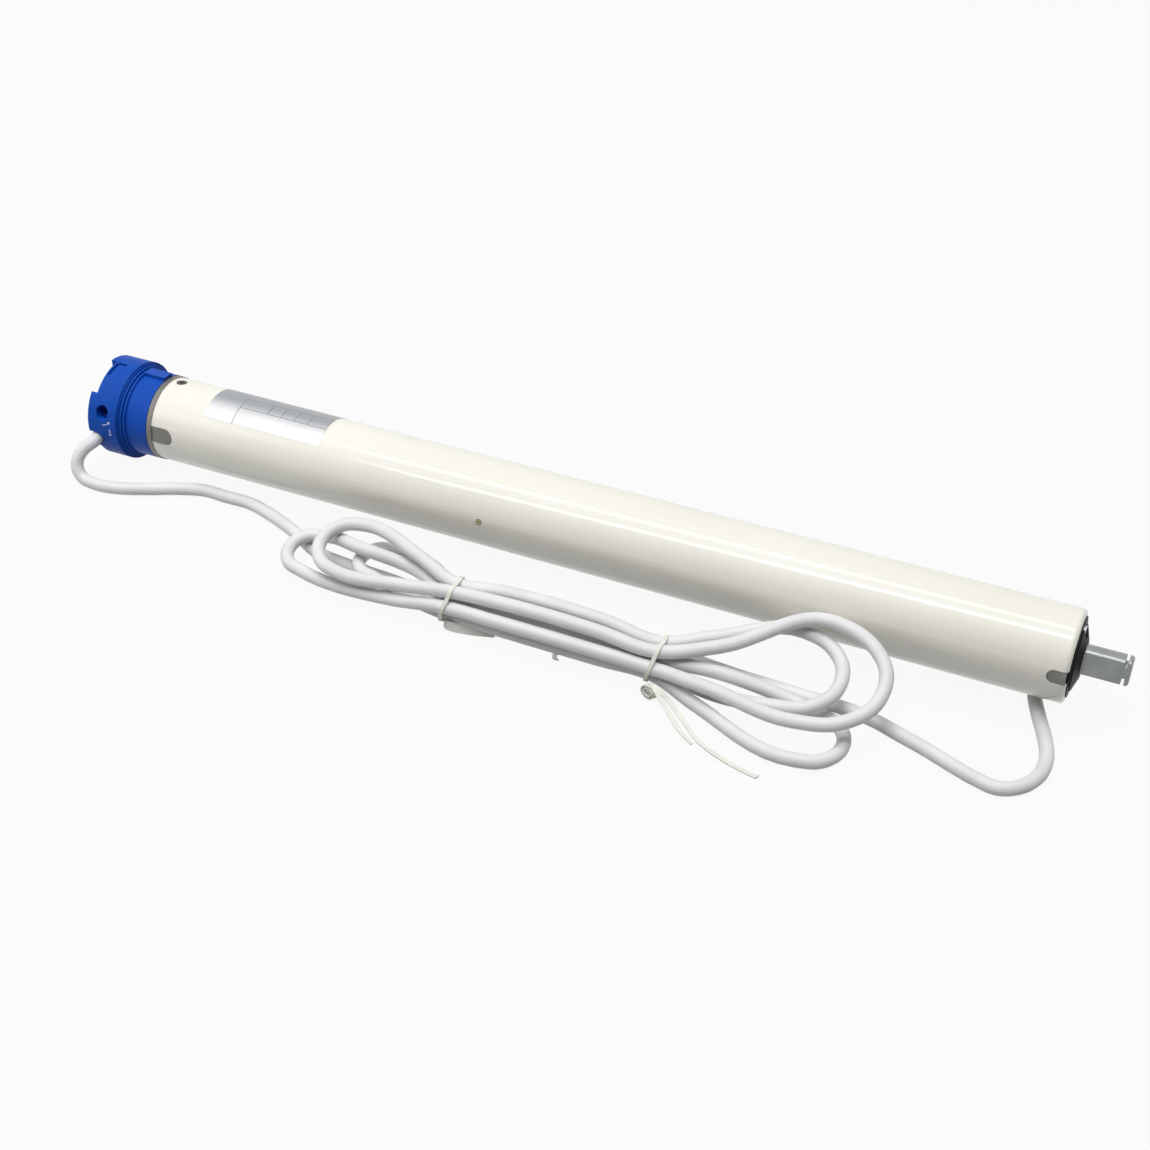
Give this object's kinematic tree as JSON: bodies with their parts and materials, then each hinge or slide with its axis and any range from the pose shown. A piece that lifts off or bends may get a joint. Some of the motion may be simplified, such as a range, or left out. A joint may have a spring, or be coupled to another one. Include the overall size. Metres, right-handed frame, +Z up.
{
  "type": "tubular roller blind motor",
  "caption": "Tubular motor for a roller blind: long white tube with a blue head and crown ring, a drive shaft with two flats, and a white cord wound in a tied hank.",
  "frame": {"origin": "on the motor axis, in the plane of the head rim that lies against the wall bracket", "axes": "+X along the axis to the drive shaft, +Z up from the table, +Y away from the viewer"},
  "size_m": [0.555, 0.1402, 0.0562],
  "materials": {
    "blue_plastic": "satin moulded",
    "dark_blue_plastic": "moulded",
    "white_coat": "gloss powder coat on a steel tube",
    "zinc_cast": "die-cast zinc",
    "black_plastic": "moulded",
    "grey_plastic": "moulded",
    "white_plastic": "moulded",
    "steel": "zinc plated",
    "dark_steel": "black oxide",
    "brass": "turned",
    "copper": "enamelled winding wire",
    "lamination": "stacked sheet",
    "label_foil": "bare foil label",
    "white_cord": "white flexible sheath",
    "core_sheath": "coloured core sheaths",
    "foam": "foam",
    "tie": "coated wire tie"
  },
  "bodies": {
    "motor": {"head_housing": "blue_plastic", "head_cover": "blue_plastic", "bracket_inserts": "brass", "cord_clamp": "black_plastic", "tube_flange": "zinc_cast", "flange_screws": "steel", "motor_tube": "white_coat", "tube_screws": "dark_steel", "rating_label": "label_foil", "limit_chassis": "grey_plastic", "limit_switches": "black_plastic", "run_capacitor": "white_plastic", "capacitor_collar": "foam", "motor_leads": "core_sheath", "motor_rear_bell": "zinc_cast", "motor_pins": "brass", "stator_core": "lamination", "stator_winding": "copper", "motor_front_bell": "zinc_cast", "motor_bearings": "steel", "brake_body": "lamination", "brake_coil": "copper", "gearbox_plate": "steel", "ring_gear": "grey_plastic", "gearbox_nose": "zinc_cast", "output_bushes": "brass", "end_plate": "black_plastic", "end_plate_screws": "steel", "cord_lead": "white_cord", "cord_hank": "white_cord", "cord_tail": "white_cord", "cord_cores": "core_sheath", "hank_tie_left": "tie", "hank_tie_right": "tie"},
    "crown": {"crown_ring": "blue_plastic"},
    "end_stop_up": {"limit_pinion_up": "white_plastic"},
    "end_stop_down": {"limit_pinion_down": "white_plastic"},
    "adjuster_up": {"adjuster_up": "dark_blue_plastic"},
    "adjuster_down": {"adjuster_down": "dark_blue_plastic"},
    "armature": {"brake_armature": "steel"},
    "rotor": {"rotor_core": "lamination", "rotor_shaft": "steel", "brake_disc": "black_plastic"},
    "first_carrier": {"carrier_first": "steel"},
    "second_carrier": {"carrier_second": "steel"},
    "drive": {"output_carrier": "steel"},
    "first_planet_a": {"planet_first_a": "white_plastic"},
    "first_planet_b": {"planet_first_b": "white_plastic"},
    "first_planet_c": {"planet_first_c": "white_plastic"},
    "second_planet_a": {"planet_second_a": "white_plastic"},
    "second_planet_b": {"planet_second_b": "white_plastic"},
    "second_planet_c": {"planet_second_c": "white_plastic"},
    "third_planet_a": {"planet_third_a": "white_plastic"},
    "third_planet_b": {"planet_third_b": "white_plastic"},
    "third_planet_c": {"planet_third_c": "white_plastic"}
  },
  "joints": [
    {"name": "crown_turn", "type": "hinge", "parent": "motor", "child": "crown", "pos_m": [0.027, 0, 0], "axis": [1, 0, 0], "continuous": true},
    {"name": "end_stop_up_turn", "type": "hinge", "parent": "motor", "child": "end_stop_up", "pos_m": [0.03, 0.00197, 0.01336], "axis": [1, 0, 0], "continuous": true},
    {"name": "end_stop_down_turn", "type": "hinge", "parent": "motor", "child": "end_stop_down", "pos_m": [0.03, -0.00197, -0.01336], "axis": [1, 0, 0], "continuous": true},
    {"name": "adjuster_up_turn", "type": "hinge", "parent": "motor", "child": "adjuster_up", "pos_m": [0.0088, -0.01827, 0.00813], "axis": [0, -0.9135, 0.4067], "continuous": true},
    {"name": "adjuster_down_turn", "type": "hinge", "parent": "motor", "child": "adjuster_down", "pos_m": [0.0088, -0.01176, -0.01618], "axis": [0, -0.5878, -0.809], "continuous": true},
    {"name": "armature_pull", "type": "slide", "parent": "motor", "child": "armature", "axis": [-1, 0, 0], "range_m": [0, 0.0004], "stiffness_N_per_m": 2000},
    {"name": "rotor_turn", "type": "hinge", "parent": "motor", "child": "rotor", "pos_m": [0.29, 0, 0], "axis": [1, 0, 0], "continuous": true},
    {"name": "first_carrier_turn", "type": "hinge", "parent": "motor", "child": "first_carrier", "pos_m": [0.406, 0, 0], "axis": [1, 0, 0], "continuous": true},
    {"name": "second_carrier_turn", "type": "hinge", "parent": "motor", "child": "second_carrier", "pos_m": [0.425, 0, 0], "axis": [1, 0, 0], "continuous": true},
    {"name": "drive_turn", "type": "hinge", "parent": "motor", "child": "drive", "pos_m": [0.5, 0, 0], "axis": [1, 0, 0], "continuous": true},
    {"name": "first_planet_a_turn", "type": "hinge", "parent": "first_carrier", "child": "first_planet_a", "pos_m": [0.3985, -0.01061, 0.00157], "axis": [1, 0, 0], "continuous": true},
    {"name": "first_planet_b_turn", "type": "hinge", "parent": "first_carrier", "child": "first_planet_b", "pos_m": [0.3985, 0.00666, 0.0084], "axis": [1, 0, 0], "continuous": true},
    {"name": "first_planet_c_turn", "type": "hinge", "parent": "first_carrier", "child": "first_planet_c", "pos_m": [0.3985, 0.00395, -0.00997], "axis": [1, 0, 0], "continuous": true},
    {"name": "second_planet_a_turn", "type": "hinge", "parent": "second_carrier", "child": "second_planet_a", "pos_m": [0.416, -0.01061, 0.00157], "axis": [1, 0, 0], "continuous": true},
    {"name": "second_planet_b_turn", "type": "hinge", "parent": "second_carrier", "child": "second_planet_b", "pos_m": [0.416, 0.00666, 0.0084], "axis": [1, 0, 0], "continuous": true},
    {"name": "second_planet_c_turn", "type": "hinge", "parent": "second_carrier", "child": "second_planet_c", "pos_m": [0.416, 0.00395, -0.00997], "axis": [1, 0, 0], "continuous": true},
    {"name": "third_planet_a_turn", "type": "hinge", "parent": "drive", "child": "third_planet_a", "pos_m": [0.4375, -0.01061, 0.00157], "axis": [1, 0, 0], "continuous": true},
    {"name": "third_planet_b_turn", "type": "hinge", "parent": "drive", "child": "third_planet_b", "pos_m": [0.4375, 0.00666, 0.0084], "axis": [1, 0, 0], "continuous": true},
    {"name": "third_planet_c_turn", "type": "hinge", "parent": "drive", "child": "third_planet_c", "pos_m": [0.4375, 0.00395, -0.00997], "axis": [1, 0, 0], "continuous": true}
  ],
  "couplings": [
    {"joint": "end_stop_up_turn", "follows": "crown_turn", "ratio": 4},
    {"joint": "end_stop_down_turn", "follows": "crown_turn", "ratio": 4},
    {"joint": "first_carrier_turn", "follows": "rotor_turn", "ratio": 0.18182},
    {"joint": "second_carrier_turn", "follows": "rotor_turn", "ratio": 0.033058},
    {"joint": "drive_turn", "follows": "rotor_turn", "ratio": 0.0060105},
    {"joint": "first_planet_a_turn", "follows": "rotor_turn", "ratio": -0.46753},
    {"joint": "first_planet_b_turn", "follows": "rotor_turn", "ratio": -0.46753},
    {"joint": "first_planet_c_turn", "follows": "rotor_turn", "ratio": -0.46753},
    {"joint": "second_planet_a_turn", "follows": "rotor_turn", "ratio": -0.085006},
    {"joint": "second_planet_b_turn", "follows": "rotor_turn", "ratio": -0.085006},
    {"joint": "second_planet_c_turn", "follows": "rotor_turn", "ratio": -0.085006},
    {"joint": "third_planet_a_turn", "follows": "rotor_turn", "ratio": -0.015456},
    {"joint": "third_planet_b_turn", "follows": "rotor_turn", "ratio": -0.015456},
    {"joint": "third_planet_c_turn", "follows": "rotor_turn", "ratio": -0.015456}
  ]
}
